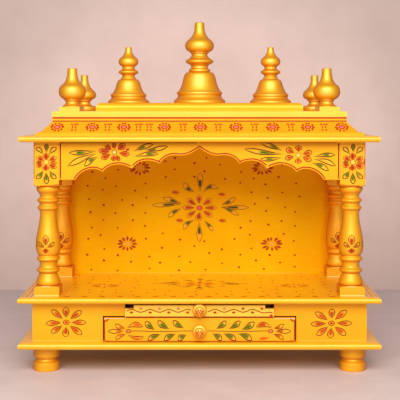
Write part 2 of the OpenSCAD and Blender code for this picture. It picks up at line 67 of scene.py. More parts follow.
def room_material(name, colour, stain, roughness, painted_light_centre, near, far, fall):
    """A blotched surface with a painted pool of light: darker away from a given centre, and clear from
    behind.
    """
    mat, n, link, bsdf = new_material(name)
    bsdf.inputs["Roughness"].default_value = roughness
    place = n.new("ShaderNodeTexCoord")
    cloud = fill(n.new("ShaderNodeTexNoise"), {"Scale": 9, "Detail": 7, "Roughness": 0.62})
    link(place.outputs["Object"], cloud.inputs["Vector"])
    spread = fill(n.new("ShaderNodeMapRange"), {"From Min": 0.36, "From Max": 0.64})
    link(cloud.outputs["Fac"], spread.inputs["Value"])
    tint = colour_mix(n, {"A": (*stain, 1), "B": (*colour, 1)})
    link(spread.outputs["Result"], tint.inputs["Factor"])
    away = n.new("ShaderNodeVectorMath")
    away.operation = "DISTANCE"
    away.inputs[1].default_value = painted_light_centre
    link(place.outputs["Object"], away.inputs[0])
    painted_light_falloff = n.new("ShaderNodeMapRange")
    painted_light_falloff.interpolation_type = "SMOOTHSTEP"
    fill(painted_light_falloff, {"From Min": near, "From Max": far, "To Min": 1, "To Max": fall})
    link(away.outputs["Value"], painted_light_falloff.inputs["Value"])
    painted_dimming = colour_mix(n, {"Factor": 1}, "MULTIPLY")
    link(tint.outputs["Result"], painted_dimming.inputs["A"])
    link(painted_light_falloff.outputs["Result"], painted_dimming.inputs["B"])
    link(painted_dimming.outputs["Result"], bsdf.inputs["Base Color"])
    shown = n.new("ShaderNodeMath")
    shown.operation = "SUBTRACT"
    shown.inputs[0].default_value = 1
    facing = n.new("ShaderNodeNewGeometry")
    link(facing.outputs["Backfacing"], shown.inputs[1])
    link(shown.outputs[0], bsdf.inputs["Alpha"])
    return mat


def room_sheet(name, material, tilt, place):
    bm = bmesh.new()
    bmesh.ops.create_grid(bm, x_segments=1, y_segments=1, size=3.0)
    bmesh.ops.rotate(bm, verts=bm.verts, matrix=Matrix.Rotation(math.radians(tilt), 3, "X"))
    bmesh.ops.translate(bm, verts=bm.verts, vec=place)
    sheet = bpy.data.objects.new(name, bpy.data.meshes.new(name))
    bm.to_mesh(sheet.data)
    bm.free()
    sheet.data.materials.append(material)
    bpy.context.scene.collection.objects.link(sheet)


wall_behind = 0.687
# The floor's painted pool of light lies in front of the temple, the wall's behind its middle.
floor_stone = room_material("floor_stone", (0.79, 0.68, 0.665), (0.72, 0.61, 0.6), roughness=0.55,
                            painted_light_centre=(0, -0.5, 0), near=0.3, far=0.75, fall=0.84)
wall_plaster = room_material("wall_plaster", (0.84, 0.65, 0.58), (0.79, 0.60, 0.54), roughness=0.9,
                             painted_light_centre=(0, wall_behind, 0.25), near=0.36, far=0.64, fall=0.74)
room_sheet("floor", floor_stone, 0, (0, 0, 0))
room_sheet("wall", wall_plaster, 90, (0, wall_behind, 2.0))

lamp_data = bpy.data.lights.new("lamp_front", "AREA")
lamp_data.shape = "RECTANGLE"
lamp_data.size, lamp_data.size_y = 2.7, 1.6
lamp_data.energy = 88
lamp_place, lamp_aim = Vector((-0.1, -2.3, 1.7)), Vector((0, 0, 0.28))
lamp = bpy.data.objects.new("lamp_front", lamp_data)
lamp.location = lamp_place
lamp.rotation_euler = (lamp_aim - lamp_place).to_track_quat("-Z", "Y").to_euler()
bpy.context.scene.collection.objects.link(lamp)

world = bpy.data.worlds.new("room_light")
bpy.context.scene.world = world
world.use_nodes = True
fill(world.node_tree.nodes["Background"], {"Color": (1.0, 0.96, 0.92, 1), "Strength": 0.21})

camera_distance, camera_height, camera_dip = 1.814, 0.4551, 1.28
cabinet_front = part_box("box_front_left")[0].y
camera_data = bpy.data.cameras.new("camera")
camera_data.sensor_width, camera_data.lens = 36, 96.7
camera_data.shift_x, camera_data.shift_y = 0.0012, -0.18
camera = bpy.data.objects.new("camera", camera_data)
camera.location = (0, cabinet_front - camera_distance, camera_height)
camera.rotation_euler = (math.radians(90 - camera_dip), 0, 0)
bpy.context.scene.collection.objects.link(camera)
bpy.context.scene.camera = camera
bpy.context.scene.view_settings.view_transform = "Standard"


# ------------------------------------------------------------- lacquer
# Every board and turning is sanded, primed and brushed with a gold lacquer. It pools a little deeper
# in places and shows the brush. The turned pieces get painted light that follows the view: a paler
# colour where they face the eye is painted highlight, a darker one where they turn away is painted
# shade.
def make_lacquer_group():
    group = bpy.data.node_groups.new("brushed_lacquer", "ShaderNodeTree")
    for label, way, kind in (
            ("Position", "INPUT", "Vector"), ("Light", "INPUT", "Color"), ("Deep", "INPUT", "Color"),
            ("Pooling", "INPUT", "Float"), ("Dullness", "INPUT", "Float"),
            ("Colour", "OUTPUT", "Color"), ("Roughness", "OUTPUT", "Float"),
            ("Relief", "OUTPUT", "Float")):
        group.interface.new_socket(name=label, in_out=way, socket_type="NodeSocket" + kind)
    n, link = group.nodes, group.links.new
    into, out = n.new("NodeGroupInput"), n.new("NodeGroupOutput")

    cloud = fill(n.new("ShaderNodeTexNoise"), {"Scale": 14, "Detail": 4})
    link(into.outputs["Position"], cloud.inputs["Vector"])
    along_the_board = fill(n.new("ShaderNodeMapping"), {"Scale": (35, 420, 420)})
    link(into.outputs["Position"], along_the_board.inputs["Vector"])
    grain = fill(n.new("ShaderNodeTexNoise"), {"Scale": 1, "Detail": 3})
    link(along_the_board.outputs["Vector"], grain.inputs["Vector"])
    both = n.new("ShaderNodeMix")
    both.data_type = "FLOAT"
    both.inputs["Factor"].default_value = 0.35
    link(cloud.outputs["Fac"], both.inputs["A"])
    link(grain.outputs["Fac"], both.inputs["B"])
    link(both.outputs["Result"], out.inputs["Relief"])

    spread = fill(n.new("ShaderNodeMapRange"), {"From Min": 0.38, "From Max": 0.68})
    link(both.outputs["Result"], spread.inputs["Value"])
    amount = n.new("ShaderNodeMath")
    amount.operation = "MULTIPLY"
    link(spread.outputs["Result"], amount.inputs[0])
    link(into.outputs["Pooling"], amount.inputs[1])
    tint = colour_mix(n, {})
    link(amount.outputs[0], tint.inputs["Factor"])
    link(into.outputs["Light"], tint.inputs["A"])
    link(into.outputs["Deep"], tint.inputs["B"])
    link(tint.outputs["Result"], out.inputs["Colour"])

    rough = fill(n.new("ShaderNodeMapRange"), {"To Min": 0.38, "To Max": 0.54})
    link(grain.outputs["Fac"], rough.inputs["Value"])
    dulled = n.new("ShaderNodeMath")
    dulled.operation = "ADD"
    link(rough.outputs["Result"], dulled.inputs[0])
    link(into.outputs["Dullness"], dulled.inputs[1])
    link(dulled.outputs[0], out.inputs["Roughness"])
    return group


lacquer_group = make_lacquer_group()


def add_coat(n, link, light, deep, pooling, dullness=0.0):
    """The lacquer group on the object's own coordinates; gives both nodes back."""
    place = n.new("ShaderNodeTexCoord")
    coat = n.new("ShaderNodeGroup")
    coat.node_tree = lacquer_group
    fill(coat, {"Light": (*light, 1), "Deep": (*deep, 1), "Pooling": pooling, "Dullness": dullness})
    link(place.outputs["Object"], coat.inputs["Position"])
    return place, coat


LIGHT_GOLD, DEEP_GOLD = (0.98, 0.48, 0.008), (0.93, 0.34, 0.003)
EDGE = (0.8, 0.3, 0.03)
# Painted highlight and painted shade that the turned lacquers add by view.
PAINTED_HIGHLIGHT = (1.0, 0.76, 0.15)
PAINTED_EDGE_SHADE = (0.66, 0.18, 0.002)


def lacquer(name, light, deep, pooling, metallic, clear=0.0, dullness=0.0, painted_view_light=()):
    """Lacquered wood, with painted light of (colour, facing from, facing to, share from, share to).

    Each such colour is laid over the lacquer by how far the wood faces the eye: the first share
    where it faces the eye and the other share where it turns away. A paler colour makes a painted
    highlight, a darker one painted shade.
    """
    mat, n, link, bsdf = new_material(name)
    coat = add_coat(n, link, light, deep, pooling, dullness)[1]
    colour = coat.outputs["Colour"]
    for shade, *stops in painted_view_light:
        view = n.new("ShaderNodeLayerWeight")
        share = fill(n.new("ShaderNodeMapRange"),
                     dict(zip(("From Min", "From Max", "To Min", "To Max"), stops)))
        link(view.outputs["Facing"], share.inputs["Value"])
        turned = colour_mix(n, {"B": (*shade, 1)})
        link(share.outputs["Result"], turned.inputs["Factor"])
        link(colour, turned.inputs["A"])
        colour = turned.outputs["Result"]
    link(colour, bsdf.inputs["Base Color"])
    link(coat.outputs["Roughness"], bsdf.inputs["Roughness"])
    bump = fill(n.new("ShaderNodeBump"), {"Strength": 0.25, "Distance": 0.0006})
    link(coat.outputs["Relief"], bump.inputs["Height"])
    link(bump.outputs["Normal"], bsdf.inputs["Normal"])
    fill(bsdf, {"Metallic": metallic, "Specular IOR Level": 0.4, "Specular Tint": (*EDGE, 1),
                "Coat Weight": clear, "Coat Roughness": 0.35})
    return mat


gold = lacquer("gold_lacquer", LIGHT_GOLD, DEEP_GOLD, pooling=0.4, metallic=0.3, clear=0.4)
inner = lacquer("inner_gold", (0.97, 0.55, 0.004), (0.92, 0.38, 0.002), pooling=0.6, metallic=0.3)
board = lacquer("board_gold", (0.97, 0.53, 0.006), (0.93, 0.40, 0.003), pooling=0.5, metallic=0.15,
                clear=1.0)
# A paler copy of the gold for the attic board, finial pads and tray lip is painted highlight for their
# brighter lit look.
pale = lacquer("painted_bright_lacquer", (1.0, 0.63, 0.06), (0.96, 0.48, 0.03), pooling=0.35, metallic=0.25,
               clear=0.6)
# Both turned lacquers carry painted light: a darker colour at the edges as painted shade, and on satin
# also a paler one where it faces the eye as painted highlight.
turning = lacquer("turned_gold", (0.99, 0.48, 0.014), (0.92, 0.34, 0.006), pooling=0.35,
                  metallic=0.4, clear=0.45, dullness=0.08, painted_view_light=[(PAINTED_EDGE_SHADE, 0.15, 0.75, 0, 0.7)])
satin = lacquer("satin_gold", (0.98, 0.50, 0.014), (0.92, 0.36, 0.006), pooling=0.35,
                metallic=0.5, clear=0.5, dullness=0.1,
                painted_view_light=[(PAINTED_HIGHLIGHT, 0.0, 0.2, 0.6, 0), (PAINTED_EDGE_SHADE, 0.15, 0.7, 0, 0.8)])
finishes_with_painted_light = {"column": turning, "foot": turning, "drawer_knob": satin, "tray_knob": satin,
          "finial_front": satin, "finial_back": satin,
          "dome_centre": satin, "dome_left": satin, "dome_right": satin,
          "attic_board": pale, "finial_pads": pale, "tray_lip": pale, "back_panel": inner,
          "deck_board": board, "base_board": board, "crown_board": board}
for name, piece in nodes.items():
    special = [look for start, look in finishes_with_painted_light.items() if name.startswith(start)]
    piece.data.materials.clear()
    piece.data.materials.append(special[0] if special else gold)


# ------------------------------------------------------ cabinet flowers
# The cabinet has an eight-petalled flower on each side of the drawer and two
# at each end, put on with a pointed brush: a blush of colour from the root,
# then an outline.
MM = 0.001
UMBER = (0.085, 0.010, 0.003)
MAROON = (0.24, 0.012, 0.003)
RED = (0.46, 0.004, 0.002)
ORANGE = (0.92, 0.10, 0.001)
YELLOW = (0.97, 0.52, 0.03)
GLOW = (1.0, 0.60, 0.06)
BRIGHT_EDGE = (1.0, 0.62, 0.12)
LIFT = 0.12
hand = random.Random(11)


def brush_paint():
    """Strokes of colour; the paint's alpha is how far it hides the lacquer under it."""
    mat, n, link, bsdf = new_material("brush_paint")
    place, under = add_coat(n, link, LIGHT_GOLD, DEEP_GOLD, 0.45)
    stroke = n.new("ShaderNodeAttribute")
    stroke.attribute_name = "paint"
    bristle = fill(n.new("ShaderNodeTexNoise"), {"Scale": 700, "Detail": 2})
    link(place.outputs["Object"], bristle.inputs["Vector"])
    thin = fill(n.new("ShaderNodeMapRange"), {"To Min": 0.8, "To Max": 1.15})
    link(bristle.outputs["Fac"], thin.inputs["Value"])
    cover = n.new("ShaderNodeMath")
    cover.operation = "MULTIPLY"
    cover.use_clamp = True
    link(stroke.outputs["Alpha"], cover.inputs[0])
    link(thin.outputs["Result"], cover.inputs[1])
    tint = colour_mix(n, {})
    link(cover.outputs[0], tint.inputs["Factor"])
    link(under.outputs["Colour"], tint.inputs["A"])
    link(stroke.outputs["Color"], tint.inputs["B"])
    link(tint.outputs["Result"], bsdf.inputs["Base Color"])
    link(under.outputs["Roughness"], bsdf.inputs["Roughness"])
    shine = fill(n.new("ShaderNodeMapRange"), {"To Min": 0.4, "To Max": 0.0})
    link(cover.outputs[0], shine.inputs["Value"])
    link(shine.outputs["Result"], bsdf.inputs["Metallic"])
    bsdf.inputs["Specular IOR Level"].default_value = 0.15
    return mat


paint = brush_paint()


def blend(a, b, share):
    share = min(1, max(0, share))
    return tuple(p + (q - p) * share for p, q in zip(a, b))


def new_layer():
    """An empty sheet of strokes; a stroke's z is how far it stands off the wood."""
    bm = bmesh.new()
    bm.loops.layers.float_color.new("paint")
    return bm


def faces_of(verts):
    return {face for vert in verts for face in vert.link_faces}


def tint_faces(bm, faces, colour):
    layer = bm.loops.layers.float_color["paint"]
    for face in faces:
        for loop in face.loops:
            loop[layer] = (*colour, 1)


def petal(bm, root, tip, width, blush=RED, at=0.35, reach=0.5, full=0.6, line=MAROON, thick=1.3,
          bulge=1.35, point=0.7, bend=0.0, lift=LIFT):
    """A petal or leaf from root to tip, in millimetres, with an outline of its own colour.

    Its blush lies at a share of the length and reaches some way to both sides of it, as full
    as told. More bulge moves the broadest place to the tip, and more point slims the ends.
    """
    root, tip = Vector(root), Vector(tip)
    along = tip - root
    length = along.length
    along.normalize()
    side = Vector((-along.y, along.x))
    width *= hand.uniform(0.93, 1.07)
    columns, rows = (9, 6) if line else (6, 2)
    edge = min(0.2, thick / length) if line else 0.12
    made = bmesh.ops.create_grid(bm, x_segments=columns, y_segments=rows, size=1)["verts"]
    spot = {}
    for vert in made:
        i = round((vert.co.x + 1) / 2 * columns)
        j = round((vert.co.y + 1) / 2 * rows) - rows // 2
        share = {0: 0, columns: 1}.get(i, edge + (1 - 2 * edge) * (i - 1) / (columns - 2))
        half = width / 2 * math.sin(math.pi * (0.02 + 0.96 * share) ** bulge) ** point
        core = max(0.25 * half, half - thick)
        off = {rows // 2: half, 0: 0}.get(abs(j), core * abs(j) / 2) * (1 if j > 0 else -1)
        place = root + along * (length * share) + side * (off + bend * math.sin(math.pi * share))
        spot[vert] = (share, abs(j), i)
        vert.co = (place.x * MM, place.y * MM, lift * MM)
    layer = bm.loops.layers.float_color["paint"]
    for face in faces_of(made):
        marks = [spot[vert] for vert in face.verts]
        rim = max(m[1] for m in marks) == rows // 2 \
            or min(m[2] for m in marks) == 0 or max(m[2] for m in marks) == columns
        for loop in face.loops:
            if rim or not line:
                loop[layer] = (*(line or blush), 0.92)
                continue
            share, row, _ = spot[loop.vert]
            heart = max(0, 1 - ((share - at) / reach) ** 2)
            # Fullest on the middle line, it is faint where the outline starts.
            heart = min(1, (2.2, 2.2 * full, full - 0.5, 0)[row] * heart)
            loop[layer] = (*blend(GLOW, blush, 3 * heart), 0.2 + 0.78 * heart)


def dot(bm, centre, radius, colour=RED, lift=LIFT, flat=1.0):
    made = bmesh.ops.create_circle(bm, cap_ends=True, segments=10, radius=radius * MM)["verts"]
    bmesh.ops.scale(bm, verts=made, vec=(1, flat, 1))
    bmesh.ops.translate(bm, verts=made, vec=(centre[0] * MM, centre[1] * MM, lift * MM))
    tint_faces(bm, faces_of(made), colour)


def eye(bm, centre, rings, lift=LIFT, flat=1.0):
    """The eye of a flower: round dabs of paint laid one on another, the widest first."""
    for i, (radius, colour) in enumerate(rings):
        dot(bm, centre, radius, colour, lift + 0.04 * i, flat)


def ribbon(bm, path, width, colour=RED, lift=0.1):
    """A line of even width along a path in millimetres."""
    count = len(path) - 1
    made = bmesh.ops.create_grid(bm, x_segments=count, y_segments=1, size=1)["verts"]
    for vert in made:
        i = round((vert.co.x + 1) / 2 * count)
        before, after = Vector(path[max(0, i - 1)]), Vector(path[min(count, i + 1)])
        along = (after - before).normalized()
        off = Vector((-along.y, along.x)) * (width / 2 * vert.co.y)
        vert.co = ((path[i][0] + off.x) * MM, (path[i][1] + off.y) * MM, lift * MM)
    tint_faces(bm, faces_of(made), colour)


# The directions across and up of each face that is painted.
LOOKS = {"front": ((1, 0, 0), (0, 0, 1)), "left": ((0, -1, 0), (0, 0, 1)),
         "right": ((0, 1, 0), (0, 0, 1)), "top": ((1, 0, 0), (0, 1, 0))}


def lay_on(name, bm, onto, facing, body):
    """Lays a sheet of strokes on the pieces' surface and gives it a thin body."""
    across, up = (Vector(v) for v in LOOKS[facing])
    out = across.cross(up)
    points, faces = [], []
    for node in onto:
        start = len(points)
        mesh = nodes[node].data
        points += [nodes[node].matrix_world @ v.co for v in mesh.vertices]
        faces += [tuple(start + i for i in p.vertices) for p in mesh.polygons]
    surface = BVHTree.FromPolygons(points, faces)
    missed = []
    for vert in bm.verts:
        lift = vert.co.z
        start = across * vert.co.x + up * vert.co.y + out
        hit = surface.ray_cast(start, -out)[0]
        if hit is None:
            missed.append(vert)
            continue
        vert.co = hit + out * lift
    bmesh.ops.delete(bm, geom=missed, context="VERTS")
    obj = bpy.data.objects.new(name, bpy.data.meshes.new(name))
    bm.to_mesh(obj.data)
    bm.free()
    obj.data.materials.append(paint)
    film = obj.modifiers.new("film", "SOLIDIFY")
    film.thickness = 0.3 * MM
    film.offset = -1
    bpy.context.scene.collection.objects.link(obj)
    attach(obj, body)
    if missed:
        print("strokes off the wood:", name, len(missed))


def round_flower(bm, centre, reach_across, reach_up=25):
    """Eight petals, the level ones long and slim, the upright ones short and broad."""
    for turn in range(8):
        angle = math.radians(45 * turn + hand.uniform(-4, 4))
        across, up = math.cos(angle), math.sin(angle)
        size = hand.uniform(0.97, 1.05) * (1.1 if turn % 2 else 1)
        petal(bm, (centre[0] + across * 9.5, centre[1] + up * 8.5),
              (centre[0] + across * reach_across * size, centre[1] + up * reach_up * size),
              12.5 - 2.5 * abs(across), blush=blend(RED, ORANGE, 0.1 + 0.35 * hand.random()),
              at=0.34, reach=0.4, full=0.75, line=blend(UMBER, MAROON, 0.4), thick=1.7)
    eye(bm, centre, ((5.8, MAROON), (4.2, blend(ORANGE, YELLOW, 0.5)), (2.4, RED)), flat=0.8)


cabinet_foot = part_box("base_board")[1].z / MM
flower_z, foot_line_z = cabinet_foot + 30.3, cabinet_foot + 0.6
strokes = new_layer()
for side, centre, reach in ((-1, (-225.9, flower_z + 1.4), 33), (1, (223.7, flower_z), 34)):
    round_flower(strokes, centre, reach)
    ribbon(strokes, [(side * x, foot_line_z) for x in range(168, 283, 6)], 0.7, BRIGHT_EDGE)
lay_on("cabinet_flowers", strokes, ("box_front_left", "box_front_right"), "front", "temple")

for facing, onto in (("left", "box_side_left"), ("right", "box_side_right")):
    strokes = new_layer()
    for place in (-66, 66):
        round_flower(strokes, (place, flower_z), 29, 22)
    lay_on("cabinet_flowers_" + facing, strokes, (onto,), facing, "temple")


# -------------------------------------------------------------- drawer
# The drawer's front has a half flower at each end, a stem from each to the
# knob with three leaves above and three below it, and a thin red border.
GREEN = (0.030, 0.150, 0.002)
PAINTED_TOP_HIGHLIGHT = (0.75, 0.58, 0.38)


def dab(bm, root, tip, width, colour=RED, lift=LIFT, **shape):
    """One solid stroke of the brush."""
    petal(bm, root, tip, width, blush=colour, line=None, lift=lift, **shape)


def leaf(bm, root, tip, width, bend=0.0, green=GREEN, at=0.42, reach=0.3, thick=1.9, full=0.85):
    """A leaf with a dark outline, broadest towards its tip."""
    petal(bm, root, tip, width, blush=green, at=at, reach=reach, full=full, bend=bend,
          bulge=1.55, point=0.8, line=UMBER, thick=thick)


# Each petal's root and tip from the drawer's middle and the stem, its width and bend, and the
# place and reach of its blush.
HALF_FLOWER = (((129, 0), (154, 0), 8.5, 0, 0.25, 0.3),
               ((126, 5), (142, 12), 8, -2, 0.25, 0.35),
               ((125, -5.5), (142, -14), 8, 2, 0.3, 0.35),
               ((121.5, 6), (96, 8), 9.5, -4.5, 0.65, 0.3),
               ((121, -6.5), (94.5, -10), 7.5, 3, 0.5, 0.25))
drawer_low, drawer_high = (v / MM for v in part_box("drawer_front"))
eye_x, stem_z = 120, drawer_low.z + 17.7
strokes = new_layer()
for side, petals, warm, full in ((-1, 5, ORANGE, 0.7), (1, 4, blend(RED, ORANGE, 0.3), 0.9)):
    for root, tip, width, bend, at, reach in HALF_FLOWER[:petals]:
        petal(strokes, (side * root[0], stem_z + root[1]), (side * tip[0], stem_z + tip[1]), width,
              warm, at=at, reach=reach, full=full, bend=side * bend, line=blend(UMBER, MAROON, 0.3),
              thick=1.6)
    eye(strokes, (side * eye_x, stem_z), ((4.6, MAROON), (3.2, (0.70, 0.22, 0.04))), 0.14, 0.8)
    ribbon(strokes, [(side * x, stem_z + 0.5 * math.sin(x / 14)) for x in range(115, 12, -6)],
           1.4, blend(UMBER, YELLOW, 0.15))
dab(strokes, (118, stem_z - 11), (100.5, stem_z - 13), 5, ORANGE)
for root, tip in (
        ((-75.5, 2.5), (-91.5, 16.5)), ((-51, 3.5), (-70.5, 17.8)), ((-26, 5), (-45, 18.1)),
        ((-65, -5), (-87.5, -15)), ((-39.5, -4.2), (-60, -15.5)), ((-22, -6), (-36.5, -15.5)),
        ((28, 4), (45, 17.5)), ((49.5, 4), (69, 17.5)), ((71, 2), (92.5, 15.5)),
        ((22, -4), (37.5, -15.5)), ((40, -4), (62, -15.5)), ((65, -4), (89, -15))):
    bend = 1.5 if (root[0] < 0) == (root[1] > 0) else -1.5
    leaf(strokes, (root[0], stem_z + root[1]), (tip[0], stem_z + tip[1]), 10.5, bend, reach=0.34)

edge_x, edge_low, edge_top = drawer_high.x - 1.1, drawer_low.z + 0.8, drawer_high.z - 2.2
up_the_edge = [edge_low + 0.4 + 6 * i for i in range(7)]
for side in (-1, 1):
    ribbon(strokes, [(side * edge_x, z) for z in up_the_edge], 1.8, blend(RED, MAROON, 0.2), 0.2)
    dab(strokes, (side * edge_x, edge_top - 4.5), (side * (edge_x - 7.5), edge_top + 0.6), 3.2)
    dab(strokes, (side * edge_x, edge_low), (side * (edge_x - 9), edge_low), 3)
    # A pale line along the top of the drawer front at each end is a painted highlight.
    ribbon(strokes, [(side * x, edge_top + 1.5) for x in range(127, 162, 2)], 1.0, PAINTED_TOP_HIGHLIGHT)
ribbon(strokes, [(x, edge_low) for x in range(-160, 161, 10)], 1.1, blend(RED, UMBER, 0.4))
lay_on("drawer_paint", strokes, ("drawer_front",), "front", "drawer")


def knob_strokes(name, node, body):
    """A small flower of eight short red strokes round the button of a knob."""
    low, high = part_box(node)
    middle = (low.z + high.z) / 2 / MM
    bm = new_layer()
    for turn in range(8):
        angle = math.radians(45 * turn + 22)
        across, up = math.cos(angle), math.sin(angle) * 0.85
        dab(bm, (across * 2, middle + up * 2), (across * 6.8, middle + up * 6.8), 2.9,
            blend(RED, ORANGE, 0.4 * hand.random()))
    dot(bm, (0, middle), 1.3)
    lay_on(name, bm, (node,), "front", body)


knob_strokes("drawer_knob_paint", "drawer_knob", "drawer")


# ---------------------------------------------------------------- tray
# The tray's lip has a red line that waves from end to end on either side of
# the knob, with a pink dot in each hollow and a red one under each crest.
PINK = (0.86, 0.16, 0.12)
lip_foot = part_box("tray_lip")[0].z / MM
wave_z, wave_rise, wave_length = lip_foot + 11, 2.3, 31.6
wave_stops = [14 + 1.5 * i for i in range(74)]
droop_start = 102


def wave_middle(x, droop):
    """The height about which the line waves; the right one droops near its end."""
    return wave_z - droop * max(0, x - droop_start)


strokes = new_layer()
for side, first_crest, droop in ((-1, 20, 0), (1, 26, 0.28)):
    ribbon(strokes, [(side * x, wave_middle(x, droop)
                      + wave_rise * math.cos(2 * math.pi * (x - first_crest) / wave_length))
                     for x in wave_stops], 1.7, blend(RED, MAROON, 0.2))
    for crest in range(4):
        x = first_crest + wave_length * crest
        dot(strokes, (side * x, wave_middle(x, droop) - 2.8), 2.9, blend(RED, ORANGE, 0.1), flat=0.7)
    for hollow in range(3):
        x = first_crest + wave_length * (hollow + 0.5)
        tone = blend(RED, PINK, 0.3) if side * x > 60 else PINK
        dot(strokes, (side * x, wave_z + 3.6), 3, tone, flat=0.7)
ribbon(strokes, [(x, lip_foot + 0.9) for x in range(-124, 125, 8)], 1.5, blend(MAROON, ORANGE, 0.3))
lay_on("tray_paint", strokes, ("tray_lip",), "front", "tray")
knob_strokes("tray_knob_paint", "tray_knob", "tray")


# ---------------------------------------------------------------- deck
# The deck is painted as the back is: a flower in the middle, a rosette on
# each side, loose dots between, and a border of strokes along the edges.
PALE = (1.0, 0.66, 0.12)
DARK_GREEN = (0.016, 0.075, 0.002)


def rosette(bm, centre, reach_across, reach_up, colour=RED):
    """Twelve solid petals round a small yellow ring."""
    for turn in range(12):
        angle = math.radians(30 * turn + hand.uniform(-5, 5))
        across, up = math.cos(angle), math.sin(angle)
        size = hand.uniform(0.92, 1.05)
        dab(bm, (centre[0] + across * reach_across * 0.4, centre[1] + up * reach_up * 0.4),
            (centre[0] + across * reach_across * size, centre[1] + up * reach_up * size),
            4.4, blend(colour, MAROON, 0.5 * hand.random()), bulge=1.3)
    eye(bm, centre, ((5.6, colour), (4.9, PALE)), flat=0.72)
    eye(bm, centre, ((2.6, ORANGE), (1.6, YELLOW)), 0.2, 0.7)


def scatter(bm, low, high, step, row, keep_off, radius=2.2, colour=blend(RED, MAROON, 0.25),
            flat=0.9):
    """Dots in loose, staggered rows that leave the flowers free."""
    z, odd = low[1], False
    while z <= high[1]:
        x = low[0] + (step / 2 if odd else 0)
        while x <= high[0]:
            spot = (x + hand.uniform(-7, 7), z + hand.uniform(-4, 4))
            if all(((spot[0] - cx) / rx) ** 2 + ((spot[1] - cz) / rz) ** 2 > 1
                   for cx, cz, rx, rz in keep_off):
                dot(bm, spot, radius * hand.uniform(0.85, 1.1), colour, flat=flat)
            x += step
        z, odd = z + row, not odd


# Each leaf's root and tip from the flower's centre, its width and bend.
SPRAY = (((1, 31), (1.5, 68), 11, 0), ((-9.5, 31), (-31, 48), 11, 3), ((7.5, 30), (36, 38), 10, 7),
         ((-34, 7.5), (-91, 5), 9, 0), ((-35, 8.5), (-69.5, 19.5), 9.5, 0),
         ((-35.5, -1), (-60, -18), 10, -2), ((-0.7, -26.5), (0, -65), 12, 0),
         ((-10, -24), (-31, -41.5), 10, -4), ((9, -24.5), (26, -44.5), 8.5, 1),
         ((40.5, 1.5), (94.5, 0.5), 9, 0), ((41, 6), (69, 20), 9, -2), ((42, 1), (75, -14), 9, 2))
BUDS = ((-46, 30), (43, 26), (-38, -24), (44, -24.5))


def starburst(bm, centre, scale=1.0):
    """The big flower: eight red petals, leaves round it in four sprays, four buds."""
    cx, cz = centre
    for turn in range(8):
        angle = math.radians(45 * turn + hand.uniform(-4, 4))
        across, up = math.cos(angle) * scale, math.sin(angle) * scale
        petal(bm, (cx + across * 10, cz + up * 8.8), (cx + across * 33, cz + up * 25.5),
              (13 - 3.5 * abs(math.cos(angle))) * scale, blend(RED, ORANGE, 0.5 * hand.random()),
              thick=0.9)
    for root, tip, width, bend in SPRAY:
        leaf(bm, (cx + root[0] * scale, cz + root[1] * scale),
             (cx + tip[0] * scale, cz + tip[1] * scale), width * scale, bend * scale,
             DARK_GREEN, reach=0.26, thick=1.0, full=0.6)
    for x, z in BUDS:
        petal(bm, (cx + (x - 7) * scale, cz + (z + 0.5) * scale),
              (cx + (x + 7) * scale, cz + (z - 0.5) * scale), 7.5 * scale,
              blend(RED, ORANGE, 0.4), at=0.4, reach=0.6, thick=0.7, bulge=1)
    eye(bm, centre, ((6 * scale, RED), (4.4 * scale, PINK)), flat=0.75)


deck_low, deck_high = (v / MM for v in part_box("deck_board"))
burst_y, rosette_y = 2, -18
rosettes_x = (-170, 170)
faded = blend(RED, ORANGE, 0.6)
strokes = new_layer()
starburst(strokes, (0, burst_y), 0.95)
for x in rosettes_x:
    rosette(strokes, (x, rosette_y), 27, 19, faded)
scatter(strokes, (-225, deck_low.y + 34), (225, 100), 56, 17,
        [(0, burst_y, 96, 72)] + [(x, rosette_y, 34, 24) for x in rosettes_x],
        radius=2.4, colour=blend(RED, ORANGE, 0.4), flat=1.3)
border_y = deck_low.y + 17
for x in range(-225, 226, 30):
    dab(strokes, (x - 5.5, border_y), (x + 5.5, border_y + 1), 8, faded)
border_lines, border_strokes = (6.5, 21), 13.8
for side in (-1, 1):
    for inset in border_lines:
        ribbon(strokes, [(side * (deck_high.x - inset), y) for y in range(-132, 140, 8)],
               0.8, blend(RED, UMBER, 0.4))
    x = side * (deck_high.x - border_strokes)
    for y in range(-128, 138, 9):
        dab(strokes, (x - side * 3.5, y - 2.5), (x + side * 3.5, y + 2.5), 2.6)
lay_on("deck_paint", strokes, ("deck_board",), "top", "temple")


# ------------------------------------------------------------- columns
# Each column is turned from a square blank. Its belly has a lily, its top
# block a flower between leaves, and its bottom block's edges catch the light.
SHINE = (1.0, 0.80, 0.30)


def lily(bm, x, z):
    """Three open petals over a drop."""
    line = blend(UMBER, MAROON, 0.5)
    petal(bm, (x, z - 3), (x, z + 14), 11.5, at=0.38, reach=0.34, bulge=1.1, line=line, thick=1.5)
    for side in (-1, 1):
        petal(bm, (x + side * 2.2, z - 6.5), (x + 1 + side * 13.2, z + 1.5), 7.5, at=0.3, reach=0.4,
              bend=-side * 1.5, line=line, thick=1.5)
    petal(bm, (x - 0.3, z - 8.6), (x + 0.3, z - 16.6), 10.5, at=0.45, reach=0.6, full=0.9, bulge=1)


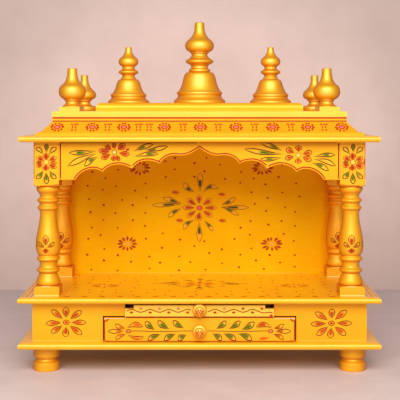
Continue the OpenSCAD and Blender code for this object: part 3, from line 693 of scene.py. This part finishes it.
def block_flower(bm, x, z):
    """Eight petals between three leaves above and three below."""
    wine = blend(RED, MAROON, 0.25)
    for root, tip, width, blush, reach in (
            ((0.3, 4.5), (-0.8, 15), 12.5, wine, 0.6), ((5.5, 3), (17.5, 8), 9, RED, 0.4),
            ((6.5, -0.5), (19, -2), 5, ORANGE, 0.4), ((5, -4.5), (17.5, -9.5), 10, RED, 0.45),
            ((-0.8, -5), (-0.8, -14.5), 12.5, RED, 0.6), ((-6.5, -3.5), (-17.5, -7.5), 9.5, RED, 0.4),
            ((-7, -0.5), (-17.5, -0.5), 5, wine, 0.5), ((-4.5, 3), (-17, 8.5), 9.5, RED, 0.4)):
        petal(bm, (x + root[0], z + root[1]), (x + tip[0], z + tip[1]), width, blush,
              line=blend(MAROON, RED, 0.2), at=0.4, reach=reach, full=0.8, bulge=1.1)
    for side, fading in ((-1, 0.0), (1, 0.3)):
        leaf(bm, (x + side * 5, z + 13), (x + side * 17.5, z + 24.5), 8.5, side * 1.5,
             blend(GREEN, YELLOW, 0.7))
        leaf(bm, (x + side * 5.5, z - 14.5), (x + side * 17, z - 28), 9, -side * 1.5,
             blend(GREEN, YELLOW, fading))
    leaf(bm, (x + 0.5, z + 16), (x + 0.5, z + 31.5), 8, at=0.55, reach=0.35)
    leaf(bm, (x, z - 17), (x + 0.5, z - 37.5), 9.5)
    eye(bm, (x, z), ((5, blend(MAROON, ORANGE, 0.3)), (3.8, blend(YELLOW, PALE, 0.4))), 0.14)


front_axis, back_axis = (sum(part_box("column_" + part + "_right"), Vector()) / 2 / MM
                         for part in ("front", "back"))
crown_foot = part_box("crown_board")[0].z / MM
crown_shadow_line_z = crown_foot - 1.1
block_foot = crown_foot - 75.8
belly_z, block_flower_z = deck_high.z + 89.3, crown_foot - 34
up_block, across_block = [crown_foot - 62 + 5 * i for i in range(13)], range(-20, 21, 2)

for name, side, warm in (("column_front_left", -1, 0.15), ("column_front_right", 1, 0.5)):
    strokes = new_layer()
    x = side * front_axis.x
    lily(strokes, x - 1.5, belly_z)
    block_flower(strokes, x, block_flower_z)
    ribbon(strokes, [(x + t, block_foot + 1.3 + max(0, -side * t - 6) ** 2 * 0.016)
                     for t in across_block], 1.7, blend(RED, ORANGE, 0.3))
    # A dark line across the block's top is painted shadow under the crown board.
    ribbon(strokes, [(x + t, crown_shadow_line_z) for t in across_block[::2]], 2.4, blend(UMBER, MAROON, 0.4))
    ribbon(strokes, [(x + side * 20.5, z) for z in up_block], 1.1, blend(MAROON, ORANGE, warm))
    if side > 0:
        dab(strokes, (x + 19.8, block_flower_z - 8), (x + 19.8, block_flower_z + 6), 3)
    lay_on(name + "_paint", strokes, (name,), "front", "temple")

for part, plinth in (("front", 16.7), ("back", 19)):
    for facing in ("left", "right"):
        name = "column_" + part + "_" + facing
        low, high = (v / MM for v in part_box(name))
        strokes = new_layer()
        for z in (low.z + 0.7, low.z + plinth - 0.7):
            ribbon(strokes, [(low.x + 1 + (high.x - low.x - 2) * i / 8, z) for i in range(9)],
                   1.1, SHINE)
        lay_on(name + "_edges", strokes, (name,), "front", "temple")

for name, side in (("column_back_left", -1), ("column_back_right", 1)):
    strokes = new_layer()
    lily(strokes, side * back_axis.x, belly_z - 18.5)
    lay_on(name + "_paint", strokes, (name,), "front", "temple")

for facing, side in (("left", -1), ("right", 1)):
    for part, axis in (("front", front_axis), ("back", back_axis)):
        strokes = new_layer()
        lily(strokes, side * axis.y, belly_z)
        block_flower(strokes, side * axis.y, block_flower_z)
        name = "column_" + part + "_" + facing
        lay_on(name + "_side_paint", strokes, (name,), facing, "temple")


# -------------------------------------------------------------- arches
# The foiled boards are edged with a red line just inside the cut. Each half
# of the front has a red flower between two sprays of long leaves.
def edge_line(bm, node, facing, inset=2.5, width=2.1):
    """A line that follows the foils at a fixed distance."""
    across, up = (Vector(v) for v in LOOKS[facing])
    out = across.cross(up)
    points = [nodes[node].matrix_world @ v.co for v in nodes[node].data.vertices]
    places = [p.dot(across) for p in points]
    middle, half = (max(places) + min(places)) / 2, (max(places) - min(places)) / 2
    heights = [p.dot(up) for p in points]
    foot, top = min(heights), max(heights)
    face = max(p.dot(out) for p in points)
    cut = sorted({(round(x, 5), round(z, 5)) for x, z, p in zip(places, heights, points)
                  if abs(p.dot(out) - face) < 1e-4 and z < top - MM and abs(x - middle) < half - MM},
                 key=lambda spot: (spot[0], -spot[1] if spot[0] > middle else spot[1]))
    path = [(x / MM, z / MM) for x, z in cut]
    line = []
    for i, (x, z) in enumerate(path):
        before, after = Vector(path[max(0, i - 1)]), Vector(path[min(len(path) - 1, i + 1)])
        along = (after - before).normalized()
        line.append((x - along.y * inset, max(z + along.x * inset, foot / MM + 0.6)))
    ribbon(bm, line, width, blend(RED, MAROON, 0.15))


def arch_flower(bm, centre, petals, root_share, warmth, **shape):
    """Petals of (tip across, tip up, width) about a centre."""
    for x, z, width in petals:
        petal(bm, (centre[0] + x * root_share, centre[1] + z * 0.34), (centre[0] + x, centre[1] + z),
              width, blend(RED, ORANGE, warmth * hand.random()), **shape)


def arch_leaves(bm, leaves):
    """Leaves of (root and tip from the crown board, width, bend, blush at, fading to yellow)."""
    for root, tip, width, bend, at, fading in leaves:
        leaf(bm, (root[0], crown_foot + root[1]), (tip[0], crown_foot + tip[1]), width, bend,
             blend(GREEN, YELLOW, fading), at, reach=0.2)


arch_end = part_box("front_arch")[1].x / MM - 2.5
strokes = new_layer()
edge_line(strokes, "front_arch", "front")
for side in (-1, 1):
    ribbon(strokes, [(side * arch_end, z) for z in up_block], 2.2, blend(RED, MAROON, 0.7))
# A dark line along the arch's top, darker on the left half, is painted shadow under the crown board.
ribbon(strokes, [(x, crown_shadow_line_z) for x in range(-236, 1, 8)], 2.2, blend(UMBER, MAROON, 0.4))
ribbon(strokes, [(x, crown_shadow_line_z) for x in range(0, 237, 8)], 2.0, blend(MAROON, ORANGE, 0.4))

left_flower, right_flower = (-144, crown_foot - 17.5), (166.8, crown_foot - 22.4)
arch_flower(strokes, left_flower,
            ((-27, 2.6, 10.8), (-16, 11.5, 9.8), (-1, 16, 8.8), (18.5, 13.5, 11.8), (26, -3.8, 10.8),
             (9, -14.4, 8.3), (-2, -14.8, 9.8), (-22.5, -10.5, 10.3)),
            0.3, 0.2, at=0.4, full=0.9, line=blend(MAROON, RED, 0.5), thick=1.9)
dab(strokes, (-125.5, crown_foot - 14.5), (-118.5, crown_foot - 11.7), 4.5)
eye(strokes, left_flower, ((4.6, blend(UMBER, ORANGE, 0.3)), (3.4, PALE)), 0.14)
arch_leaves(strokes, (((-174, -15.5), (-220.5, -18.5), 9.5, 1, 0.6, 0),
                      ((-174, -19.5), (-222, -40.5), 10.5, -1.5, 0.42, 0.7),
                      ((-172, -26), (-194.5, -41), 10, -2.5, 0.42, 0),
                      ((-112, -16), (-78.5, -4), 8.5, 1, 0.42, 0),
                      ((-93, -14), (-54, -7.5), 9, -1.5, 0.3, 0),
                      ((-112, -25.5), (-69.5, -20), 9, 2, 0.65, 0)))

arch_flower(strokes, right_flower,
            ((1, 17, 13), (24, 5.5, 10), (22.7, -8.7, 10.5), (0, -14.5, 12), (-22.6, -6, 10),
             (-20.8, 11, 10.5)),
            0.34, 0.4, reach=0.45, full=0.7, line=blend(MAROON, RED, 0.3), thick=2)
eye(strokes, right_flower, ((4.2, ORANGE), (3.2, PALE)), 0.14)
arch_leaves(strokes, (((193, -25.5), (229, -22), 9, 1.5, 0.6, 0),
                      ((193, -29.5), (230, -40.5), 9.5, 3, 0.6, 0.8),
                      ((189.5, -35.5), (218.5, -49), 9.5, 2.5, 0.42, 0),
                      ((141, -15.5), (104.5, -2), 8.5, -1, 0.4, 0),
                      ((142.5, -21), (76.5, -12), 9.5, 1.5, 0.45, 0),
                      ((140, -26.2), (103, -29.2), 8, 1.5, 0.6, 0)))
lay_on("front_arch_paint", strokes, ("front_arch",), "front", "temple")

side_flower_z, side_flower_out = crown_foot - 20, 52
for facing, side in (("left", -1), ("right", 1)):
    strokes = new_layer()
    edge_line(strokes, "side_arch_" + facing, facing)
    middle = side * (front_axis.y + back_axis.y) / 2
    for half in (-1, 1):
        x, z = middle + half * side_flower_out, side_flower_z
        for turn in range(6):
            angle = math.radians(60 * turn + 30)
            across, up = math.cos(angle), math.sin(angle)
            petal(strokes, (x + across * 5, z + up * 4.5), (x + across * 15, z + up * 12), 7.5,
                  line=blend(UMBER, RED, 0.4))
        eye(strokes, (x, z), ((3, ORANGE), (2.2, PALE)), 0.14)
        leaf(strokes, (x - half * 17, z + 4), (x - half * 40, z + 9), 7, half)
    lay_on("side_arch_" + facing + "_paint", strokes, ("side_arch_" + facing,), facing, "temple")


# ---------------------------------------------------------- back panel
# One thin panel closes the back. It has the big flower in the middle, a
# rosette towards each corner and loose rows of red dots.
burst_z, rosette_low, rosette_high = deck_high.z + 126, deck_high.z + 56.8, crown_foot - 58.6
rosettes = ((-138.5, rosette_low), (138.5, rosette_low), (-114, rosette_high), (121, rosette_high))
strokes = new_layer()
starburst(strokes, (0, burst_z))
for spot in rosettes:
    rosette(strokes, spot, 20.5, 14)
scatter(strokes, (-212, deck_high.z + 9.3), (214, crown_foot - 19), 57, 13.5,
        [(0, burst_z, 88, 58)] + [(x, z, 27, 20) for x, z in rosettes])
ribbon(strokes, [(x, deck_high.z + 0.6) for x in range(-214, 215, 12)], 0.9, GLOW)
lay_on("back_panel_paint", strokes, ("back_panel",), "front", "temple")


# ---------------------------------------------------------------- roof
# The sloping frieze repeats a small flower and a cluster of dabs, under a
# band with a red line at its top and a thinner one at its foot.
frieze_low, frieze_high = (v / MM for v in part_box("sloping_frieze"))
band_low, band_high = (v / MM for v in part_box("attic_band"))
FLOWERS_AT = (-243, -183, -129, -60, 1.5, 62.5, 125, 185, 243)
DABS_AT = (-214, -157, -104, -86, -28, 32, 94, 156, 213)


def frieze_flower(bm, x, z):
    for turn in range(10):
        angle = math.radians(36 * turn + hand.uniform(-7, 7))
        across, up = math.cos(angle), math.sin(angle)
        dab(bm, (x + across * 7, z + up * 4.4), (x + across * 12, z + up * 7.6), 4.2,
            blend(RED, ORANGE, 0.2 * hand.random()), bulge=1)
    eye(bm, (x, z), ((5.8, RED), (3.9, PINK)), flat=0.62)


def dab_cluster(bm, x, z):
    """Three level dabs over two upright ones, each with a level one at its foot."""
    tone = blend(RED, ORANGE, 0.35)
    for across in (-4.5, 1, 5):
        dab(bm, (x + across - 2.4, z + 4.6), (x + across + 2.4, z + 5), 2.8, tone, bulge=1)
    for across in (-3.2, 3):
        dab(bm, (x + across, z + 3.4), (x + across + hand.uniform(-1, 1), z - 2), 2.8, tone)
        dab(bm, (x + across - 1.8, z - 4.4), (x + across + 1.8, z - 4.8), 3.2, tone, bulge=1)


def frieze_row(flowers, dabs, middle=0.0):
    bm = new_layer()
    z = (frieze_low.z + frieze_high.z) / 2 + 0.2
    for x in flowers:
        frieze_flower(bm, middle + x, z)
    for x in dabs:
        dab_cluster(bm, middle + x, z)
    return bm


def band_lines(low, high):
    bm = new_layer()
    stops = [low + (high - low) * i / 20 for i in range(21)]
    ribbon(bm, [(x, band_high.z - 1.5) for x in stops], 2.7, blend(RED, ORANGE, 0.1))
    ribbon(bm, [(x, band_low.z + 1.3) for x in stops], 1.9, blend(RED, UMBER, 0.5))
    return bm


band_inset = 0.4
lay_on("frieze_paint", frieze_row(FLOWERS_AT, DABS_AT), ("sloping_frieze",), "front", "temple")
lay_on("band_paint", band_lines(band_low.x + band_inset, band_high.x - band_inset), ("attic_band",),
       "front", "temple")
roof_middle = (band_low.y + band_high.y) / 2
for facing, side in (("left", -1), ("right", 1)):
    row = frieze_row((-90, -30, 30, 90), (-60, 0, 60), side * roof_middle)
    lay_on("frieze_paint_" + facing, row, ("sloping_frieze",), facing, "temple")
    ends = sorted((side * (band_low.y + band_inset), side * (band_high.y - band_inset)))
    lay_on("band_paint_" + facing, band_lines(*ends), ("attic_band",), facing, "temple")
